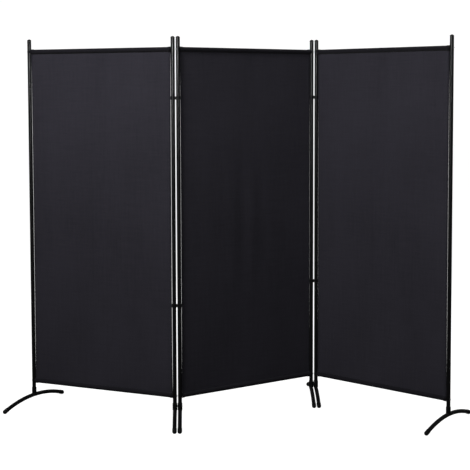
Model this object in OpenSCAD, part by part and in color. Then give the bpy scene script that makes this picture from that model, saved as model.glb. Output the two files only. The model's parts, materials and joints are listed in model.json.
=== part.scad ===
// Folding room divider screen: three fabric panels on steel tube frames, stood in a zigzag.
// Each panel hangs between two posts on a top and a bottom bar. Double-ring clips join the
// neighbouring posts, and every post turns in the collar of its own arched foot.
// Millimetres, +Z up. The origin is on the floor, in the middle of the standing screen's box.
// +X runs from the left panel to the right panel, and +Y away from the viewer.

/* [Screen] */
// Height from the floor to the top of the post caps
screen_h = 1800; // [1650:5:2000]
// Distance between the axes of the two posts of a panel
panel_span = 784; // [650:1:900]
// Distance between the axes of two clipped posts
clip_pitch = 24; // [23.5:0.5:30]

/* [Standing pose] */
// Direction of the centre panel in plan, from the X axis
centre_yaw = 35; // [20:1:50]
// Bend between the left and the centre panel, 0 when in line
left_bend = 59; // [20:1:90]
// Bend between the centre and the right panel, 0 when in line
right_bend = 77; // [20:1:90]
// Direction of the left joint's clips in plan, from the X axis
left_clip_yaw = 2.5; // [-15:0.5:20]
// Direction of the right joint's clips in plan, from the X axis
right_clip_yaw = 0.5; // [-15:0.5:20]
// Turn of the left outer foot away from square to its panel
left_foot_turn = -5; // [-20:1:20]
// Turn of the right outer foot away from square to its panel
right_foot_turn = 7; // [-20:1:20]

/* [Tube] */
// Outer diameter of the posts, the bars and the feet
tube_d = 19; // [18:0.5:19.5]
// Wall thickness of the tube
tube_wall = 1; // [0.8:0.1:1.5]

/* [Bars and cloth] */
// Height of the bottom bar's axis
bottom_bar_z = 118; // [100:1:160]
// Distance from the top of the screen down to the top bar's axis
top_bar_drop = 60; // [45:1:120]
// Thickness of the cloth sleeve round a bar
sleeve_wall = 1.2; // [0.8:0.1:2]
// Thickness of the cloth between the bars
cloth_t = 2; // [1:0.1:3]
// Gap from a post to the end of the cloth sleeve
sleeve_gap = 1.5; // [1.5:0.5:8]
// Further gap to the cloth's edge at half height, where the edge bows inward
edge_bow = 1.5; // [0:0.5:15]

/* [Clips] */
// Distance from the top of the screen to the middle of the upper clips
upper_clip_drop = 285; // [200:5:400]
// Height of the middle of the left joint's lower clip
left_low_clip_z = 546; // [400:1:700]
// Height of the middle of the right joint's lower clip
right_low_clip_z = 593; // [400:1:700]
// Height of a clip
clip_h = 16; // [12:1:30]
// Wall of a clip ring
clip_wall = 1.4; // [1.2:0.1:2.4]

/* [Feet] */
// Length of a foot from end to end
foot_len = 470; // [360:5:520]
// Height of the top of a foot's arch
foot_crown = 56; // [48:1:64]
// Diameter of the end caps
tip_d = 21; // [21:0.5:23]
// Length of tube that an end cap covers
tip_cover = 20; // [14:1:30]
// Outer diameter of the collar that holds a post
collar_d = 22.6; // [21.5:0.1:23.2]
// Height of the collar above the arch
collar_h = 27; // [22:1:35]

/* [Fasteners] */
// Thread diameter of the foot bolts
foot_bolt_d = 6; // [5:1:6]
// Thread diameter of the bar screws
bar_screw_d = 5; // [4:1:5]

/* [Hidden] */
PANELS = ["left", "centre", "right"];
POSTS = ["left_outer", "left_inner", "centre_left", "centre_right", "right_inner", "right_outer"];
POST_PIECES = ["_post", "_foot_arch", "_foot_collar", "_foot_washer", "_foot_tips"];
PANEL_PIECES = ["_top_bar", "_bottom_bar", "_fabric", "_post_caps", "_post_inserts",
                "_bar_inserts", "_bar_screws", "_foot_bolts"];
CLIPS = ["left_upper_clip", "left_lower_clip", "right_upper_clip", "right_lower_clip"];

// Colours
STEEL_BLACK = "#1b1b1d";
CLOTH_BLACK = "#232227";
PLASTIC_BLACK = "#141416";
ZINC = "#8c8f93";

// Clearances
slip = 0.05;        // fitted or turning parts, on the radius
running_gap = 0.1;  // between flat faces that turn on each other
floor_gap = 0.3;    // under the end of a post

// Tube
tube_r = tube_d / 2;
bore_r = tube_r - tube_wall;
plug_r = bore_r - slip;

// Post cap
cap_rim = 2;
cap_dome = 5;
cap_plug = 12;
cap_r = tube_r + 0.2;
dome_r = (cap_r * cap_r + cap_dome * cap_dome) / (2 * cap_dome);
post_top = screen_h - cap_dome - cap_rim;

// Bars
top_bar_z = screen_h - top_bar_drop;
insert_len = 22;
screw_r = bar_screw_d / 2;
screw_len = 36;
screw_head_r = 0.95 * bar_screw_d;
screw_head_h = 2;
screw_dome_r = 8;
socket_d = 3.4;
socket_depth = 1.4;

// Cloth
sleeve_in = tube_r + 2 * slip;
sleeve_out = sleeve_in + sleeve_wall;
sleeve_start = tube_r + sleeve_gap;
sleeve_len = panel_span - 2 * sleeve_start;
cloth_low = bottom_bar_z + sleeve_in + sleeve_wall / 2;
cloth_high = top_bar_z - sleeve_in - sleeve_wall / 2;
EDGE_STEPS = 12;

// Foot: an arc of tube through the crown and the centres of the round ends
tip_r = tip_d / 2;
pad_sink = 1;       // how much of the round end is cut flat against the floor
crown_z = foot_crown - tube_r;
end_y = foot_len / 2 - tip_r;
end_rise = crown_z - (tip_r - pad_sink);
arch_r = (end_y * end_y + end_rise * end_rise) / (2 * end_rise);
arch_angle = asin(end_y / arch_r);
deg_per_mm = 180 / (PI * arch_r);
tip_wall = 1.5;
tube_angle = arch_angle - tip_wall * deg_per_mm;
cap_angle = tube_angle - tip_cover / 2 * deg_per_mm;
cap_slip = 0.15;    // the straight cap on the slightly curved tube

// Collar, post foot and bolt
collar_r = collar_d / 2;
collar_floor = 4;
collar_skirt = 6;   // how far the saddle reaches down beside the arch
collar_bevel = 1;
collar_top = foot_crown + collar_h;
post_foot = foot_crown + collar_floor + floor_gap;
foot_insert_len = 22;
bolt_r = foot_bolt_d / 2;
bolt_hole_r = bolt_r + 0.3;
bolt_head_r = 1.65 * bolt_r;
bolt_head_h = 3.6;
bolt_socket_d = 4.6;
bolt_socket_depth = 2.2;
access_r = bolt_head_r + 0.6;   // hole in the arch's underside that lets the head in
washer_r = bolt_head_r + 0.4;
washer_low = crown_z + 3;
bolt_seat = washer_low - running_gap;
bolt_top = post_foot + foot_insert_len - 4;

// Clips
clip_in = tube_r + slip;
clip_out = tube_r + clip_wall;
clip_round = 0.8;
clip_waist = 9;

// Plan of the standing screen
function along(angle) = [cos(angle), sin(angle)];
panel_angle = [centre_yaw - left_bend, centre_yaw, centre_yaw - right_bend];
clip_angle = [left_clip_yaw, right_clip_yaw];
centre_left_at = [0, 0];
centre_right_at = centre_left_at + panel_span * along(panel_angle[1]);
left_inner_at = centre_left_at - clip_pitch * along(clip_angle[0]);
left_outer_at = left_inner_at - panel_span * along(panel_angle[0]);
right_inner_at = centre_right_at + clip_pitch * along(clip_angle[1]);
right_outer_at = right_inner_at + panel_span * along(panel_angle[2]);
plan = [left_outer_at, left_inner_at, centre_left_at,
        centre_right_at, right_inner_at, right_outer_at];

// The outer feet stand nearly square to their panels, and each inner pair square to its clips
foot_angle = [panel_angle[0] + 90 + left_foot_turn, clip_angle[0] + 90, clip_angle[0] + 90,
              clip_angle[1] + 90, clip_angle[1] + 90, panel_angle[2] + 90 + right_foot_turn];
foot_ends = [for (k = [0:5]) for (end = [-1, 1]) plan[k] + end * end_y * along(foot_angle[k])];
end_xs = [for (p = foot_ends) p.x];
end_ys = [for (p = foot_ends) p.y];
middle = [min(end_xs) + max(end_xs), min(end_ys) + max(end_ys)] / 2;

$fn = 96;
ARC_FN = 720;       // facets in a full turn of the foot's large arc

// ---- places ----

module at_panel(panel) {
    translate(plan[2 * panel] - middle) rotate(panel_angle[panel]) children();
}

module at_foot(post) {
    translate(plan[post] - middle) rotate(foot_angle[post] - 90) children();
}

module at_both_posts() {
    for (x = [0, panel_span]) translate([x, 0, 0]) children();
}

// The four bar ends of a panel, with +X pointing into the bar
module at_bar_ends() {
    for (z = [bottom_bar_z, top_bar_z]) {
        translate([0, 0, z]) children();
        translate([panel_span, 0, z]) rotate(180) children();
    }
}

module at_clip(joint, z) {
    translate((plan[2 * joint + 1] + plan[2 * joint + 2]) / 2 - middle)
        translate([0, 0, z]) rotate(clip_angle[joint]) children();
}

// ---- shapes ----

module rod_x(r, from, to) {
    translate([from, 0, 0]) rotate([0, 90, 0]) cylinder(r = r, h = to - from);
}

// Part of the foot's arc in the YZ plane, between two angles from the crown
module arc_rod(r, from, to) {
    translate([0, 0, crown_z - arch_r]) rotate([90, 0, 90])
        rotate_extrude(start = 90 - to, angle = to - from, $fn = ARC_FN)
            translate([arch_r, 0]) circle(r = r, $fn = 64);
}

module domed_disc(r, rim, dome, ball_r) {
    intersection() {
        cylinder(r = r, h = rim + dome);
        translate([0, 0, rim + dome - ball_r]) sphere(r = ball_r);
    }
}

module rounded_rect(w, h, r) {
    translate([r, 0]) square([w - 2 * r, h]);
    translate([0, r]) square([w, h - 2 * r]);
    for (x = [r, w - r]) for (y = [r, h - r]) translate([x, y]) circle(r = r, $fn = 32);
}

// ---- frame ----

module post() {
    color(STEEL_BLACK) difference() {
        translate([0, 0, post_foot]) cylinder(r = tube_r, h = post_top - post_foot);
        translate([0, 0, post_foot - 1]) cylinder(r = bore_r, h = post_top - post_foot + 2);
        for (z = [bottom_bar_z, top_bar_z])
            translate([0, 0, z]) rod_x(screw_r + 0.25, -tube_d, tube_d);
    }
}

module bar() {
    color(STEEL_BLACK) difference() {
        rod_x(tube_r, 0, panel_span);
        rod_x(bore_r, -1, panel_span + 1);
        at_both_posts() translate([0, 0, -tube_d]) cylinder(r = tube_r + slip, h = 2 * tube_d);
    }
}

module post_caps() {
    color(PLASTIC_BLACK) at_both_posts() translate([0, 0, post_top]) {
        domed_disc(cap_r, cap_rim, cap_dome, dome_r);
        translate([0, 0, -cap_plug]) cylinder(r = plug_r, h = cap_plug + 1);
    }
}

module post_inserts() {
    color(ZINC) at_both_posts() translate([0, 0, post_foot]) difference() {
        cylinder(r = plug_r, h = foot_insert_len);
        translate([0, 0, -1]) cylinder(r = bolt_r + slip, h = foot_insert_len + 2);
    }
}

module bar_inserts() {
    color(ZINC) at_bar_ends() difference() {
        rod_x(plug_r, 0, tube_r + insert_len);
        rod_x(screw_r + slip, -1, tube_r + insert_len + 1);
        translate([0, 0, -tube_d]) cylinder(r = tube_r + slip, h = 2 * tube_d);
    }
}

module bar_screws() {
    color(ZINC) at_bar_ends() {
        rod_x(screw_r, -tube_r, screw_len - tube_r);
        translate([-tube_r, 0, 0]) rotate([0, -90, 0]) difference() {
            domed_disc(screw_head_r, screw_head_h / 2, screw_head_h / 2, screw_dome_r);
            translate([0, 0, screw_head_h - socket_depth]) cylinder(d = socket_d, h = 2, $fn = 6);
        }
    }
}

// ---- cloth ----

// Inset of the cloth's side edge at a fraction t of its height
function bow(t) = sleeve_start + edge_bow * sin(180 * t);

module cloth_outline() {
    steps = [for (i = [0:EDGE_STEPS]) i / EDGE_STEPS];
    rise = cloth_high - cloth_low;
    polygon(concat(
        [for (t = steps) [bow(t), cloth_low + rise * t]],
        [for (t = steps) [panel_span - bow(1 - t), cloth_high - rise * t]]));
}

module fabric() {
    color(CLOTH_BLACK) {
        translate([0, cloth_t / 2, 0]) rotate([90, 0, 0]) linear_extrude(cloth_t) cloth_outline();
        for (z = [bottom_bar_z, top_bar_z]) translate([0, 0, z]) difference() {
            rod_x(sleeve_out, sleeve_start, sleeve_start + sleeve_len);
            rod_x(sleeve_in, 0, panel_span);
        }
    }
}

// ---- clips ----

module clip_ring() {
    rotate_extrude() translate([clip_in - 1, 0])
        rounded_rect(clip_out - clip_in + 1, clip_h, clip_round);
}

module clip() {
    color(PLASTIC_BLACK) translate([0, 0, -clip_h / 2]) difference() {
        union() {
            for (side = [-1, 1]) translate([side * clip_pitch / 2, 0, 0]) clip_ring();
            translate([0, 0, clip_h / 2])
                cube([clip_pitch - tube_d + 1, clip_waist, clip_h - 2 * clip_round], center = true);
        }
        for (side = [-1, 1]) translate([side * clip_pitch / 2, 0, -1])
            cylinder(r = clip_in, h = clip_h + 2);
    }
}

// ---- feet ----

module foot_arch() {
    color(STEEL_BLACK) difference() {
        arc_rod(tube_r, -tube_angle, tube_angle);
        arc_rod(bore_r, -arch_angle, arch_angle);
        translate([0, 0, crown_z + 1]) cylinder(r = bolt_hole_r, h = tube_d);
        translate([0, 0, crown_z - tube_d]) cylinder(r = access_r, h = tube_d - 1);
    }
}

// End cap with its axis along +Z: a straight sleeve and a round end, bored for the tube
module end_cap() {
    difference() {
        rotate_extrude() {
            translate([0, -tip_cover / 2]) square([tip_r, tip_cover + tip_wall]);
            translate([0, tip_cover / 2 + tip_wall]) intersection() {
                circle(r = tip_r);
                square(tip_r);
            }
        }
        translate([0, 0, -tip_cover]) cylinder(r = tube_r + cap_slip, h = 1.5 * tip_cover + 2 * cap_slip);
    }
}

module foot_tip() {
    difference() {
        translate([0, arch_r * sin(cap_angle), crown_z - arch_r + arch_r * cos(cap_angle)])
            rotate([-90 - cap_angle, 0, 0]) end_cap();
        translate([-tip_d, foot_len / 4, -tip_d]) cube([2 * tip_d, foot_len / 2, tip_d]);
    }
}

module foot_tips() {
    color(PLASTIC_BLACK) for (turn = [0, 180]) rotate(turn) foot_tip();
}

module foot_collar() {
    low = foot_crown - collar_skirt;
    color(STEEL_BLACK) difference() {
        rotate_extrude() polygon([[0, low], [collar_r, low], [collar_r, collar_top - collar_bevel],
                                  [collar_r - collar_bevel, collar_top], [0, collar_top]]);
        translate([0, 0, foot_crown + collar_floor]) cylinder(r = tube_r + slip, h = collar_h);
        translate([0, 0, low - 1]) cylinder(r = bolt_hole_r, h = collar_h);
        arc_rod(tube_r + slip, -4, 4);
    }
}

// Saddle washer inside the arch, flat below for the bolt's head
module foot_washer() {
    color(ZINC) difference() {
        intersection() {
            translate([0, 0, washer_low]) cylinder(r = washer_r, h = tube_r);
            arc_rod(plug_r, -4, 4);
        }
        translate([0, 0, washer_low - 1]) cylinder(r = bolt_hole_r, h = tube_d);
    }
}

module foot_bolts() {
    head_low = bolt_seat - bolt_head_h;
    color(ZINC) at_both_posts() difference() {
        union() {
            translate([0, 0, bolt_seat - 1]) cylinder(r = bolt_r, h = bolt_top - bolt_seat + 1);
            translate([0, 0, head_low]) cylinder(r = bolt_head_r, h = bolt_head_h);
        }
        translate([0, 0, head_low - 1])
            cylinder(d = bolt_socket_d, h = bolt_socket_depth + 1, $fn = 6);
    }
}

// ---- assembly ----

for (k = [0:5]) {
    side = k % 2 * panel_span;
    at_panel(floor(k / 2)) translate([side, 0, 0]) post();
    at_foot(k) foot_arch();
    at_foot(k) foot_collar();
    at_foot(k) foot_washer();
    at_foot(k) foot_tips();
}

for (p = [0:2]) at_panel(p) {
    translate([0, 0, top_bar_z]) bar();
    translate([0, 0, bottom_bar_z]) bar();
    fabric();
    post_caps();
    post_inserts();
    bar_inserts();
    bar_screws();
    foot_bolts();
}

at_clip(0, screen_h - upper_clip_drop) clip();  // left_upper_clip
at_clip(0, left_low_clip_z) clip();  // left_lower_clip
at_clip(1, screen_h - upper_clip_drop) clip();  // right_upper_clip
at_clip(1, right_low_clip_z) clip();  // right_lower_clip
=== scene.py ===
import json
import math

import bpy
import numpy as np
from mathutils import Matrix, Vector, noise


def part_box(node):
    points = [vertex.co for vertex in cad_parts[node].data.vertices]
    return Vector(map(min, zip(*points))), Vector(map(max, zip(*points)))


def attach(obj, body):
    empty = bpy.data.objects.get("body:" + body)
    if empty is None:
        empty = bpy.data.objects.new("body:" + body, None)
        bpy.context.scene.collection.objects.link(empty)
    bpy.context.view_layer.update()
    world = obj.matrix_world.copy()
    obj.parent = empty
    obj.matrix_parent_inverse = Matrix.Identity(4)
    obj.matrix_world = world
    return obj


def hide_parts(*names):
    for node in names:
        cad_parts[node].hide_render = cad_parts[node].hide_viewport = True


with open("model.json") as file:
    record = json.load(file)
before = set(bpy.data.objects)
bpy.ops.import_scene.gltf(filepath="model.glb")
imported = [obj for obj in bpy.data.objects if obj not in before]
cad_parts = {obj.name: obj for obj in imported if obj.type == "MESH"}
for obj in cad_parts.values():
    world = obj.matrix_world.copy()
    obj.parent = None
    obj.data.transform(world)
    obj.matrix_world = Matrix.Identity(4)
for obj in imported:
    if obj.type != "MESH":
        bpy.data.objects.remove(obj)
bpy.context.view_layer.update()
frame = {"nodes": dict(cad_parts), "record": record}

# Sizes are in metres. Places come from the frame's own boxes.
MM = 0.001
PANELS = {
    "left": ("left_outer", "left_inner"),
    "centre": ("centre_left", "centre_right"),
    "right": ("right_inner", "right_outer"),
}

# ---- camera, light and stage ----

CAMERA_AT = (0.027, -5.867, 1.536)
CAMERA_YAW = 0.3       # degrees, turned to the left
CAMERA_PITCH = 4.06    # degrees, looking down
CAMERA_ROLL = 0.16     # degrees, clockwise as the camera sees
CAMERA_LENS = 93.6     # millimetres on a 36 mm sensor
CAMERA_SHIFT = -0.117
FLOOR_SIZE = 60
FLOOR_GLOW = 0.99
BACKDROP = 1.05        # strength of the white that the camera sees
FILL_LOW = 0.02        # strength of the fill from below, up to a direction whose z is FILL_FROM
FILL_HIGH = 0.12       # and from straight above
FILL_FROM = -0.3


def make_camera():
    data = bpy.data.cameras.new("camera")
    data.sensor_width = 36
    data.lens = CAMERA_LENS
    data.shift_y = CAMERA_SHIFT
    camera = bpy.data.objects.new("camera", data)
    camera.location = CAMERA_AT
    level = Matrix.Rotation(math.radians(CAMERA_YAW), 3, "Z")
    tilt = Matrix.Rotation(math.radians(90 - CAMERA_PITCH), 3, "X")
    roll = Matrix.Rotation(math.radians(-CAMERA_ROLL), 3, "Z")
    camera.rotation_euler = (level @ tilt @ roll).to_euler()
    bpy.context.collection.objects.link(camera)
    bpy.context.scene.camera = camera


def add_softbox(name, place, target, size, power, diffuse=True, glossy=True):
    data = bpy.data.lights.new(name, "AREA")
    data.shape = "RECTANGLE"
    data.size, data.size_y = size
    data.energy = power
    light = bpy.data.objects.new(name, data)
    light.location = place
    aim = Vector(target) - Vector(place)
    light.rotation_euler = aim.to_track_quat("-Z", "Y").to_euler()
    light.visible_camera = False
    light.visible_diffuse = diffuse
    light.visible_glossy = glossy
    bpy.context.collection.objects.link(light)


def make_world():
    """A white backdrop for the camera, and a dim fill that comes mostly from above for the rest."""
    world = bpy.data.worlds.new("studio")
    world.use_nodes = True
    nodes, links = world.node_tree.nodes, world.node_tree.links
    backdrop = nodes["Background"]
    backdrop.inputs["Color"].default_value = (1, 1, 1, 1)
    backdrop.inputs["Strength"].default_value = BACKDROP
    fill = nodes.new("ShaderNodeBackground")
    fill.inputs["Color"].default_value = (1, 1, 1, 1)
    place = nodes.new("ShaderNodeTexCoord")
    split = nodes.new("ShaderNodeSeparateXYZ")
    links.new(place.outputs["Generated"], split.inputs[0])
    level = nodes.new("ShaderNodeMapRange")
    level.inputs["From Min"].default_value = FILL_FROM
    level.inputs["From Max"].default_value = 1.0
    level.inputs["To Min"].default_value = FILL_LOW
    level.inputs["To Max"].default_value = FILL_HIGH
    links.new(split.outputs["Z"], level.inputs["Value"])
    links.new(level.outputs["Result"], fill.inputs["Strength"])
    ray = nodes.new("ShaderNodeLightPath")
    mix = nodes.new("ShaderNodeMixShader")
    links.new(ray.outputs["Is Camera Ray"], mix.inputs["Fac"])
    links.new(fill.outputs[0], mix.inputs[1])
    links.new(backdrop.outputs[0], mix.inputs[2])
    links.new(mix.outputs[0], nodes["World Output"].inputs["Surface"])
    bpy.context.scene.world = world


def make_floor():
    """A pale floor that glows just enough to read as white."""
    half = FLOOR_SIZE / 2
    mesh = bpy.data.meshes.new("floor")
    mesh.from_pydata([(-half, -half, 0), (half, -half, 0), (half, half, 0), (-half, half, 0)], [],
                     [(0, 1, 2, 3)])
    floor = bpy.data.objects.new("floor", mesh)
    bpy.context.collection.objects.link(floor)
    mat = bpy.data.materials.new("pale_floor")
    mat.use_nodes = True
    shader = mat.node_tree.nodes["Principled BSDF"]
    shader.inputs["Base Color"].default_value = (0.3, 0.3, 0.3, 1)
    shader.inputs["Roughness"].default_value = 0.9
    shader.inputs["Specular IOR Level"].default_value = 0.0
    shader.inputs["Emission Color"].default_value = (1, 1, 1, 1)
    shader.inputs["Emission Strength"].default_value = FLOOR_GLOW
    mesh.materials.append(mat)
    floor.visible_glossy = False
    floor.visible_diffuse = False


def make_studio():
    """Two lights in front and one behind show only in diffuse light, and the strip light only in
    reflections. There is a white floor and backdrop."""
    bpy.context.scene.view_settings.view_transform = "Standard"
    make_world()
    make_floor()
    add_softbox("key_light", (-2.04, -2.3, 3.4), (0, 0, 2.7), (0.6, 1.5), 116, glossy=False)
    add_softbox("side_light", (1.56, -2.3, 1.9), (0, 0, 2.8), (0.6, 0.8), 20, glossy=False)
    add_softbox("strip_light", (-0.62, -2.1, 1.83), (0, 0, 1.7), (0.25, 0.3), 16, diffuse=False)
    add_softbox("rear_light", (0.3, 3.4, 2.6), (0, 0, 1.3), (1.8, 1.4), 100, glossy=False)


# ---- materials ----

class Look:
    """One procedural material: a Principled shader, and textures in the piece's own coordinates."""

    def __init__(self, name, roughness, metallic=0.0):
        self.mat = bpy.data.materials.new(name)
        self.mat.use_nodes = True
        self.nodes = self.mat.node_tree.nodes
        self.links = self.mat.node_tree.links
        self.shader = self.nodes["Principled BSDF"]
        self.constant("Roughness", roughness)
        self.constant("Metallic", metallic)
        self.place = self.nodes.new("ShaderNodeTexCoord").outputs["Object"]
        self.normal = None

    def constant(self, socket, value):
        self.shader.inputs[socket].default_value = value

    def math(self, operation, a, b=None):
        node = self.nodes.new("ShaderNodeMath")
        node.operation = operation
        for socket, value in zip(node.inputs, (a, b)):
            if isinstance(value, (int, float)):
                socket.default_value = value
            elif value is not None:
                self.links.new(value, socket)
        return node.outputs[0]

    def axis(self, name):
        split = self.nodes.new("ShaderNodeSeparateXYZ")
        self.links.new(self.place, split.inputs[0])
        return split.outputs[name]

    def noise(self, size, stretch=(1, 1, 1), detail=2.0):
        """Noise whose features are about size metres across, longer along an axis with a stretch."""
        mapping = self.nodes.new("ShaderNodeMapping")
        mapping.inputs["Scale"].default_value = [1 / (size * s) for s in stretch]
        self.links.new(self.place, mapping.inputs["Vector"])
        node = self.nodes.new("ShaderNodeTexNoise")
        node.inputs["Scale"].default_value = 1.0
        node.inputs["Detail"].default_value = detail
        self.links.new(mapping.outputs[0], node.inputs["Vector"])
        return node.outputs["Fac"]

    def spread(self, value, low, high, start=0.3, end=0.7):
        """Carries value from the range start to end over to the range low to high."""
        node = self.nodes.new("ShaderNodeMapRange")
        for socket, number in (("From Min", start), ("From Max", end), ("To Min", low), ("To Max", high)):
            node.inputs[socket].default_value = number
        self.links.new(value, node.inputs["Value"])
        return node.outputs["Result"]

    def color(self, dark, light, value, shade=None):
        """A colour from dark to light by value, and multiplied by shade."""
        node = self.nodes.new("ShaderNodeMix")
        node.data_type = "RGBA"
        node.inputs["A"].default_value = (*dark, 1)
        node.inputs["B"].default_value = (*light, 1)
        self.links.new(value, node.inputs["Factor"])
        result = node.outputs["Result"]
        if shade is not None:
            scale = self.nodes.new("ShaderNodeVectorMath")
            scale.operation = "SCALE"
            self.links.new(result, scale.inputs[0])
            self.links.new(shade, scale.inputs["Scale"])
            result = scale.outputs[0]
        self.links.new(result, self.shader.inputs["Base Color"])

    def roughness(self, value):
        self.links.new(value, self.shader.inputs["Roughness"])

    def bump(self, height, depth, strength=1.0):
        """Adds a layer of bump, depth metres deep."""
        node = self.nodes.new("ShaderNodeBump")
        node.inputs["Distance"].default_value = depth
        node.inputs["Strength"].default_value = strength
        self.links.new(height, node.inputs["Height"])
        if self.normal is not None:
            self.links.new(self.normal, node.inputs["Normal"])
        self.normal = node.outputs["Normal"]
        self.links.new(self.normal, self.shader.inputs["Normal"])


def tone(rgb, factor):
    return tuple(c * factor for c in rgb)


def powder_coat():
    """Satin black powder coat: a fine orange peel, and faint rubbing along the tube."""
    look = Look("black_powder_coat", 0.3)
    look.constant("Specular IOR Level", 0.5)
    rubbed = look.noise(0.006, (1, 1, 14), 3)
    look.color((0.0025, 0.0025, 0.0028), (0.006, 0.006, 0.0065), rubbed)
    look.roughness(look.spread(rubbed, 0.27, 0.37))
    look.bump(look.noise(0.0016, detail=1), 0.00004)
    look.bump(look.noise(0.012), 0.00008)
    return look.mat


def moulded_plastic():
    """Black moulded plastic with a fine spark texture."""
    look = Look("black_moulded_plastic", 0.5)
    speckle = look.noise(0.0009, detail=4)
    look.color((0.003, 0.003, 0.0033), (0.008, 0.008, 0.0086), speckle)
    look.roughness(look.spread(look.noise(0.009), 0.42, 0.58))
    look.constant("Specular IOR Level", 0.35)
    look.bump(speckle, 0.00006)
    return look.mat


def zinc_plate():
    """Bright zinc plate with a fine grain and duller patches."""
    look = Look("zinc_plate", 0.35, 1.0)
    patches = look.noise(0.004, detail=4)
    look.color((0.36, 0.37, 0.38), (0.56, 0.57, 0.58), patches)
    look.roughness(look.spread(patches, 0.24, 0.46))
    look.bump(look.noise(0.0005, detail=2), 0.00002)
    return look.mat


WEAVE_PITCH = 0.9 * MM
CLOTH_COLOR = (0.0300, 0.0284, 0.0372)
CLOTH_DARK = 0.66        # the darkest and the lightest of its unevenness, as shares of CLOTH_COLOR
CLOTH_LIGHT = 1.36
THREADS_MIX = 0.45       # how much each pattern adds to that unevenness
CLOUDS_MIX = 0.25
STREAKS_MIX = 0.15
CROSSING_MIX = 0.12
SLEEVE_PAINTED_SHADE = 0.4       # painted shade: the sleeves' colour as a share of the single cloth's
HEM_PAINTED_SHADE = 0.82         # and the side hems' painted shade
PAINTED_SHADE_EDGE = 1.5 * MM    # half the width over which the painted shade sets in


def woven_cloth(middle_x, middle_z, single_x, single_z):
    """Plain weave polyester: crossing threads, and slubs along both directions. The cloth is single
    up to single_x to each side of its middle, and up to single_z above and below it; beyond these, over
    the sleeves and the side hems, its colour is darkened as painted shade."""
    look = Look("black_woven_polyester", 0.82)
    turn = math.pi / WEAVE_PITCH
    warp = look.math("SINE", look.math("MULTIPLY", look.axis("X"), turn))
    weft = look.math("SINE", look.math("MULTIPLY", look.axis("Z"), turn))
    crossing = look.math("MULTIPLY", warp, weft)
    up = look.noise(0.0024, (1, 1, 30), 3)
    across = look.noise(0.0024, (30, 1, 1), 3)
    clouds = look.noise(0.22, (1, 1, 2.5), 2)
    streaks = look.math("ADD", look.noise(0.011, (1, 1, 22), 2), look.noise(0.009, (18, 1, 1), 2))
    threads = look.math("ADD", look.math("MULTIPLY", up, 0.55), look.math("MULTIPLY", across, 0.45))
    mixed = look.math("ADD", look.math("MULTIPLY", threads, THREADS_MIX),
                      look.math("MULTIPLY", clouds, CLOUDS_MIX))
    mixed = look.math("ADD", mixed, look.math("MULTIPLY", streaks, STREAKS_MIX))
    shade = look.math("ADD", mixed, look.math("MULTIPLY", crossing, CROSSING_MIX))
    # Painted shade: the colour is darker over the sleeves round the bars and over the side hems, where
    # the cloth is doubled.
    height = look.math("ABSOLUTE", look.math("SUBTRACT", look.axis("Z"), middle_z))
    inset = look.math("ABSOLUTE", look.math("SUBTRACT", look.axis("X"), middle_x))
    sleeve = look.spread(height, 1, SLEEVE_PAINTED_SHADE, single_z - PAINTED_SHADE_EDGE, single_z + PAINTED_SHADE_EDGE)
    hem = look.spread(inset, 1, HEM_PAINTED_SHADE, single_x - PAINTED_SHADE_EDGE, single_x + PAINTED_SHADE_EDGE)
    look.color(tone(CLOTH_COLOR, CLOTH_DARK), tone(CLOTH_COLOR, CLOTH_LIGHT), look.spread(shade, 0, 1),
               look.math("MULTIPLY", sleeve, hem))
    look.constant("Specular IOR Level", 0.15)
    look.constant("Sheen Weight", 0.06)
    look.constant("Sheen Roughness", 0.5)
    look.bump(crossing, 0.00012, 0.5)
    look.bump(threads, 0.0003, 0.5)
    return look.mat


def sewing_thread():
    """Twisted polyester thread, a little glossier than the cloth."""
    look = Look("black_sewing_thread", 0.5)
    ply = look.noise(0.0006, detail=2)
    look.color((0.014, 0.0135, 0.016), (0.034, 0.033, 0.039), ply)
    look.constant("Sheen Weight", 0.1)
    look.bump(ply, 0.0001)
    return look.mat


# ---- the panels' places, from the frame ----

class Panel:
    """Where a panel stands: x runs between its posts, z is up, and its back faces +y."""

    def __init__(self, name, posts):
        self.name = name
        self.body = name + "_panel"
        boxes = [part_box(post + "_post") for post in posts]
        first, second = [(low + high) / 2 for low, high in boxes]
        across = second - first
        self.span = math.hypot(across.x, across.y)
        self.tube_r = (boxes[0][1].x - boxes[0][0].x) / 2
        self.matrix = (Matrix.Translation((first.x, first.y, 0))
                       @ Matrix.Rotation(math.atan2(across.y, across.x), 4, "Z"))
        self.top_z = self.bar_height("_top_bar")
        self.bottom_z = self.bar_height("_bottom_bar")

    def bar_height(self, bar):
        low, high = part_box(self.name + bar)
        return (low.z + high.z) / 2

    def cloth_ends(self):
        """Where the cloth starts and stops between the posts."""
        node = frame["nodes"][self.name + "_fabric"]
        into = self.matrix.inverted() @ node.matrix_world
        xs = [(into @ vert.co).x for vert in node.data.vertices]
        return min(xs), max(xs)


# ---- cloth ----

CLOTH_T = 0.7 * MM
EDGE_BOW = 1.5 * MM      # how far the side edges draw in at half height
SLEEVE_SLACK = 0.15 * MM
SEAM_DROP = 12.5 * MM    # from a bar's axis to the sleeve's seam
FLAP_DROP = 16 * MM      # from a bar's axis to the folded edge of the sleeve's flap
HEM_W = 13 * MM
HEM_SEAM = 11 * MM       # from the side edge to the hem's stitches
GROOVE = 0.25 * MM       # how far the stitches pull the cloth in
GROOVE_W = 1.0 * MM
HEM_BULGE = 0.2 * MM     # how far the hem swells midway across its width
HEM_STEP_IN = 0.2 * MM   # the hem's thickness falls away from just inside HEM_W to just beyond it
HEM_STEP_OUT = 0.6 * MM
EDGE_ROUND = 0.6 * MM    # how far in the side edges are rounded
FLAP_Y = 0.9 * MM        # the flap's middle surface behind the sheet's
PUCKER = 0.18 * MM       # small waves that the hem's stitches make
PUCKER_WAVE = 21 * MM
PUCKER_REACH = 14 * MM   # how far in from the edge they are down to 1/e
STITCH_PITCH = 3.4 * MM
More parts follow.
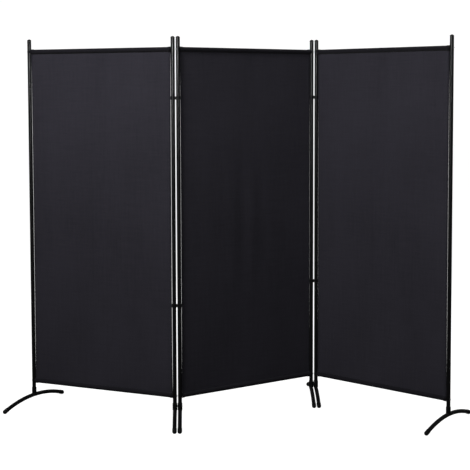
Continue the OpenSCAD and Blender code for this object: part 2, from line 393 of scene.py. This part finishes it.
STITCH_LENGTH = 2.7 * MM
THREAD_R = 0.22 * MM
BEAD_RINGS = (0.22, 0.78)  # shares of a stitch's length between which its bead is at full size
BEAD_LIFT = 0.8          # how far its axis stands off the cloth, in radii
BEAD_SPREAD = 1.2        # how much wider than high it is
ROW_STEP = 6 * MM        # the mesh's rows and columns in the open cloth
COLUMN_STEP = 10 * MM
SLEEVE_TURNS = 24        # the mesh's rows round a bar
# Columns of the mesh along a side hem, in millimetres from the edge: close at the stitches and the step
HEM_COLUMNS = (0.0, 0.5, 2, 5, 8, 9.8, 10.5, 11, 11.5, 12.2, 13.0, 13.8, 16, 20, 27, 36)

# The coarse sheet that is simulated, and the unevenness that it starts with
TRIAL_COLUMNS = 40
TRIAL_ROWS = 84
TRIAL_FRAMES = 24
TRIAL_SHRINK = 0.012     # how much the cloth is short by, as a share
TRIAL_WAVE = 0.8 * MM


def stretched_sheet(width, height, seed):
    """Stretches a nearly flat sheet between two bars by cloth simulation, with its side edges free,
    and scales its offsets in x so that they draw in by EDGE_BOW at half height. Gives its offsets
    (x, y, z) on a grid with rows from bottom to top."""
    us = np.linspace(0, 1, TRIAL_COLUMNS + 1)
    vs = np.linspace(0, 1, TRIAL_ROWS + 1)
    grid_u, grid_v = np.meshgrid(us, vs)
    waves = np.array([[noise.noise((4 * u, 6 * v, seed)) for u in us] for v in vs])
    start = np.stack([grid_u * width, TRIAL_WAVE * waves, grid_v * height], axis=-1)
    stride = TRIAL_COLUMNS + 1
    faces = [(k, k + 1, k + stride + 1, k + stride)
             for row in range(TRIAL_ROWS) for k in range(row * stride, row * stride + TRIAL_COLUMNS)]
    mesh = bpy.data.meshes.new("trial_sheet")
    mesh.from_pydata(start.reshape(-1, 3).tolist(), [], faces)
    sheet = bpy.data.objects.new("trial_sheet", mesh)
    bpy.context.collection.objects.link(sheet)
    held = sheet.vertex_groups.new(name="held")
    last = TRIAL_ROWS * stride
    held.add(list(range(stride)) + list(range(last, last + stride)), 1.0, "REPLACE")
    cloth = sheet.modifiers.new("cloth", "CLOTH")
    rules = cloth.settings
    rules.quality = 8
    rules.mass = 0.1
    rules.tension_stiffness = 30
    rules.compression_stiffness = 12
    rules.shear_stiffness = 12
    rules.bending_stiffness = 3
    rules.vertex_group_mass = held.name
    rules.shrink_min = TRIAL_SHRINK
    cloth.point_cache.frame_end = TRIAL_FRAMES
    for step in range(1, TRIAL_FRAMES + 1):
        bpy.context.scene.frame_set(step)
    shaped = sheet.evaluated_get(bpy.context.evaluated_depsgraph_get()).to_mesh()
    found = np.zeros(len(shaped.vertices) * 3, np.float32)
    shaped.vertices.foreach_get("co", found)
    bpy.data.objects.remove(sheet)
    bpy.context.scene.frame_set(1)
    offsets = found.reshape(TRIAL_ROWS + 1, stride, 3).astype(float)
    offsets[..., 0] -= start[..., 0]
    offsets[..., 2] -= start[..., 2]
    bow = (offsets[TRIAL_ROWS // 2, 0, 0] - offsets[TRIAL_ROWS // 2, -1, 0]) / 2
    offsets[..., 0] *= EDGE_BOW / bow
    return offsets


def sample(field, u, v):
    """The grid's value at (u, v), each from 0 to 1, in straight lines between its points."""
    rows, columns = field.shape[0] - 1, field.shape[1] - 1
    x, y = np.clip(u, 0, 1) * columns, np.clip(v, 0, 1) * rows
    i, j = np.minimum(x.astype(int), columns - 1), np.minimum(y.astype(int), rows - 1)
    s, t = (x - i)[..., None], (y - j)[..., None]
    low = field[j, i] * (1 - s) + field[j, i + 1] * s
    high = field[j + 1, i] * (1 - s) + field[j + 1, i + 1] * s
    return low * (1 - t) + high * t


def sleeve_path(radius):
    """Half of the cloth's route in the YZ plane, about the top bar's axis: from the flap's folded
    edge behind, up round the bar and down in front to the seam. Each point is (y, z, how much it
    belongs to the sleeve, how far the side hems push it back)."""
    back = math.hypot(FLAP_Y, SEAM_DROP)
    first = math.atan2(-SEAM_DROP, FLAP_Y) + math.acos(radius / back)
    last = 1.5 * math.pi - math.acos(radius / SEAM_DROP)
    points = [(FLAP_Y, -FLAP_DROP + k * (FLAP_DROP - SEAM_DROP) / 3, 1, 1) for k in range(4)]
    touch_y, touch_z = radius * math.cos(first), radius * math.sin(first)
    points += [(FLAP_Y + (touch_y - FLAP_Y) * t, -SEAM_DROP + (touch_z + SEAM_DROP) * t, 1, 1 - t)
               for t in (0.1, 0.25, 0.45, 0.7)]
    for k in range(SLEEVE_TURNS + 1):
        angle = first + (last - first) * k / SLEEVE_TURNS
        points.append((radius * math.cos(angle), radius * math.sin(angle), 1, 0))
    leave_y, leave_z = points[-1][:2]
    points += [(leave_y * (1 - t), leave_z + (-SEAM_DROP - leave_z) * t, 1, 0)
               for t in (0.3, 0.55, 0.75, 0.9)]
    points += [(0, -SEAM_DROP - k * MM, share, 0) for k, share in ((0, 0.7), (1, 0.3), (2.5, 0))]
    return points


def cloth_route(panel):
    """The cloth's whole route in the panel's YZ plane, from the top flap to the bottom flap."""
    half = sleeve_path(panel.tube_r + SLEEVE_SLACK + CLOTH_T / 2)
    top = [(y, panel.top_z + z, sleeve, push) for y, z, sleeve, push in half]
    bottom = [(y, panel.bottom_z - z, sleeve, push) for y, z, sleeve, push in reversed(half)]
    drop = top[-1][1] - bottom[0][1]
    rows = round(drop / ROW_STEP)
    middle = [(0, top[-1][1] - drop * k / rows, 0, 0) for k in range(1, rows)]
    return np.array(top + middle + bottom)


def smooth_step(x, start, end):
    t = np.clip((x - start) / (end - start), 0, 1)
    return t * t * (3 - 2 * t)


def dip(x, at):
    return np.exp(-(((x - at) / GROOVE_W) ** 2))


class Cloth:
    """A panel's cloth as a thick sheet. s is the length along its route, x the distance from its
    left edge, and side is 1 for the face that shows in front and -1 for the one behind."""

    def __init__(self, panel, seed):
        self.panel = panel
        route = cloth_route(panel)
        steps = np.linalg.norm(np.diff(route[:, :2], axis=0), axis=1)
        self.rows = np.concatenate([[0], np.cumsum(steps)])
        ahead = np.gradient(route[:, :2], self.rows, axis=0)
        ahead /= np.linalg.norm(ahead, axis=1)[:, None]
        self.route = np.column_stack([route, ahead[:, 1], -ahead[:, 0]])
        self.start, end = panel.cloth_ends()
        self.width = end - self.start
        self.low = panel.bottom_z + SEAM_DROP
        self.high = panel.top_z - SEAM_DROP
        self.drape = stretched_sheet(self.width, self.high - self.low, seed)
        edge = np.array(HEM_COLUMNS) * MM
        count = round((self.width - 2 * edge[-1]) / COLUMN_STEP)
        inner = np.linspace(edge[-1], self.width - edge[-1], count + 1)[1:-1]
        self.columns = np.concatenate([edge, inner, self.width - edge[::-1]])

    def seam_lengths(self):
        """Where the two sleeves' seams lie along the route: the flap's and the front's at each."""
        flap = FLAP_DROP - SEAM_DROP
        front = self.rows[np.argmax(self.route[:, 2] < 1)]
        total = self.rows[-1]
        return (flap, front, total - front, total - flap)

    def surface(self, x, s, side):
        """Points of a face, in the panel's own frame, for arrays x and s of one length."""
        y, z, sleeve, push, ny, nz = (np.interp(s, self.rows, column) for column in self.route.T)
        height = np.where(sleeve > 0.5, np.round((z - self.low) / (self.high - self.low)),
                          (z - self.low) / (self.high - self.low))
        offset = sample(self.drape, x / self.width, height)
        edge = np.minimum(x, self.width - x)
        hem = 1 - smooth_step(edge, HEM_W - HEM_STEP_IN, HEM_W + HEM_STEP_OUT)
        layers = 2 * CLOTH_T * hem
        bulge = HEM_BULGE * hem * np.sin(np.clip(edge / HEM_W, 0, 1) * math.pi)
        seams = dip(edge, HEM_SEAM)
        for place in self.seam_lengths():
            seams = np.maximum(seams, dip(s, place))
        stack = sleeve * layers if side == 1 else (1 - sleeve) * layers
        stack = stack + (1 - sleeve) * bulge * (side == 1)
        rounding = smooth_step(edge, -EDGE_ROUND, EDGE_ROUND)
        out = side * (CLOTH_T / 2 + stack - GROOVE * seams * (side == 1)) * rounding
        pucker = PUCKER * np.exp(-edge / PUCKER_REACH) * np.sin(z * 2 * math.pi / PUCKER_WAVE)
        return np.stack([self.start + x + offset[:, 0],
                         y + offset[:, 1] + push * layers + (1 - sleeve) * pucker + out * ny,
                         z + offset[:, 2] + out * nz], axis=-1)


def mesh_piece(name, verts, faces, mat, matrix):
    mesh = bpy.data.meshes.new(name)
    mesh.from_pydata([tuple(v) for v in verts], [], faces)
    mesh.materials.append(mat)
    mesh.polygons.foreach_set("use_smooth", [True] * len(mesh.polygons))
    piece = bpy.data.objects.new(name, mesh)
    bpy.context.collection.objects.link(piece)
    piece.matrix_world = matrix
    return piece


def cloth_piece(cloth, mat):
    """The front and back faces of the sheet, closed round its four edges."""
    rows, columns = len(cloth.rows), len(cloth.columns)
    x, s = np.tile(cloth.columns, rows), np.repeat(cloth.rows, columns)
    verts = np.concatenate([cloth.surface(x, s, 1), cloth.surface(x, s, -1)])
    other = rows * columns
    faces = []
    for r in range(rows - 1):
        for c in range(columns - 1):
            a = r * columns + c
            faces.append((a, a + columns, a + columns + 1, a + 1))
            b = other + a
            faces.append((b, b + 1, b + columns + 1, b + columns))
    for r in range(rows - 1):
        for c, turn in ((0, 1), (columns - 1, -1)):
            a = r * columns + c
            faces.append((a, other + a, other + a + columns, a + columns)[::turn])
    for c in range(columns - 1):
        for r, turn in ((0, -1), (rows - 1, 1)):
            a = r * columns + c
            faces.append((a, other + a, other + a + 1, a + 1)[::turn])
    return mesh_piece(cloth.panel.name + "_cloth", verts, faces, mat, cloth.panel.matrix)


def stitch_rows(cloth):
    """Each row of stitches as (x0, s0, x1, s1, side): where every stitch begins and ends."""
    total = cloth.rows[-1]
    down = np.arange(STITCH_PITCH, total - STITCH_PITCH, STITCH_PITCH)
    sleeve = np.interp(down, cloth.rows, cloth.route[:, 2])
    for x in (HEM_SEAM, cloth.width - HEM_SEAM):
        for side, starts in ((1, down), (-1, down[sleeve < 0.5])):
            yield np.full_like(starts, x), starts, np.full_like(starts, x), starts + STITCH_LENGTH, side
    across = np.arange(1.5 * MM, cloth.width - STITCH_PITCH, STITCH_PITCH)
    for place in cloth.seam_lengths():
        level = np.full_like(across, place)
        yield across, level, across + STITCH_LENGTH, level, 1


def stitching(cloth, mat):
    """Lockstitches as small beads of thread, half sunk in the grooves that they pull."""
    verts, faces = [], []
    for x0, s0, x1, s1, side in stitch_rows(cloth):
        first, last = cloth.surface(x0, s0, side), cloth.surface(x1, s1, side)
        inner = cloth.surface((x0 + x1) / 2, (s0 + s1) / 2, -side)
        along = last - first
        out = (first + last) / 2 - inner
        out /= np.linalg.norm(out, axis=1)[:, None]
        across = np.cross(along, out)
        across /= np.linalg.norm(across, axis=1)[:, None]
        rings = []
        for t in BEAD_RINGS:
            middle = first + along * t + out * THREAD_R * BEAD_LIFT
            rings += [middle + out * THREAD_R, middle + across * THREAD_R * BEAD_SPREAD,
                      middle - out * THREAD_R, middle - across * THREAD_R * BEAD_SPREAD]
        beads = np.stack([first, *rings, last], axis=1)
        for bead in beads:
            k = len(verts)
            verts.extend(bead)
            for n in range(4):
                m = (n + 1) % 4
                faces.append((k, k + 1 + n, k + 1 + m))
                faces.append((k + 1 + n, k + 5 + n, k + 5 + m, k + 1 + m))
                faces.append((k + 5 + n, k + 9, k + 5 + m))
    return mesh_piece(cloth.panel.name + "_stitching", verts, faces, mat, cloth.panel.matrix)


# ---- the panels ----

make_camera()
make_studio()

STEEL = powder_coat()
PLASTIC = moulded_plastic()
ZINC = zinc_plate()
THREAD = sewing_thread()
panels = [Panel(name, posts) for name, posts in PANELS.items()]
centre = panels[1]
CLOTH = woven_cloth(centre.span / 2, (centre.top_z + centre.bottom_z) / 2,
                    (centre.span - 2 * centre.tube_r) / 2 - HEM_W,
                    (centre.top_z - centre.bottom_z) / 2 - SEAM_DROP)
FINISHES = {"black_steel": STEEL, "black_plastic": PLASTIC, "zinc": ZINC, "black_cloth": CLOTH}

for part in frame["record"]["subparts"]:
    node = frame["nodes"][part["node"]]
    node.data.materials.clear()
    node.data.materials.append(FINISHES[part["material_slot"]])

for seed, panel in enumerate(panels):
    name = panel.name
    cloth = Cloth(panel, seed)
    piece = cloth_piece(cloth, CLOTH)
    stitches = stitching(cloth, THREAD)
    for soft in (piece, stitches):
        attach(soft, panel.body)
    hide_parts(name + "_fabric")
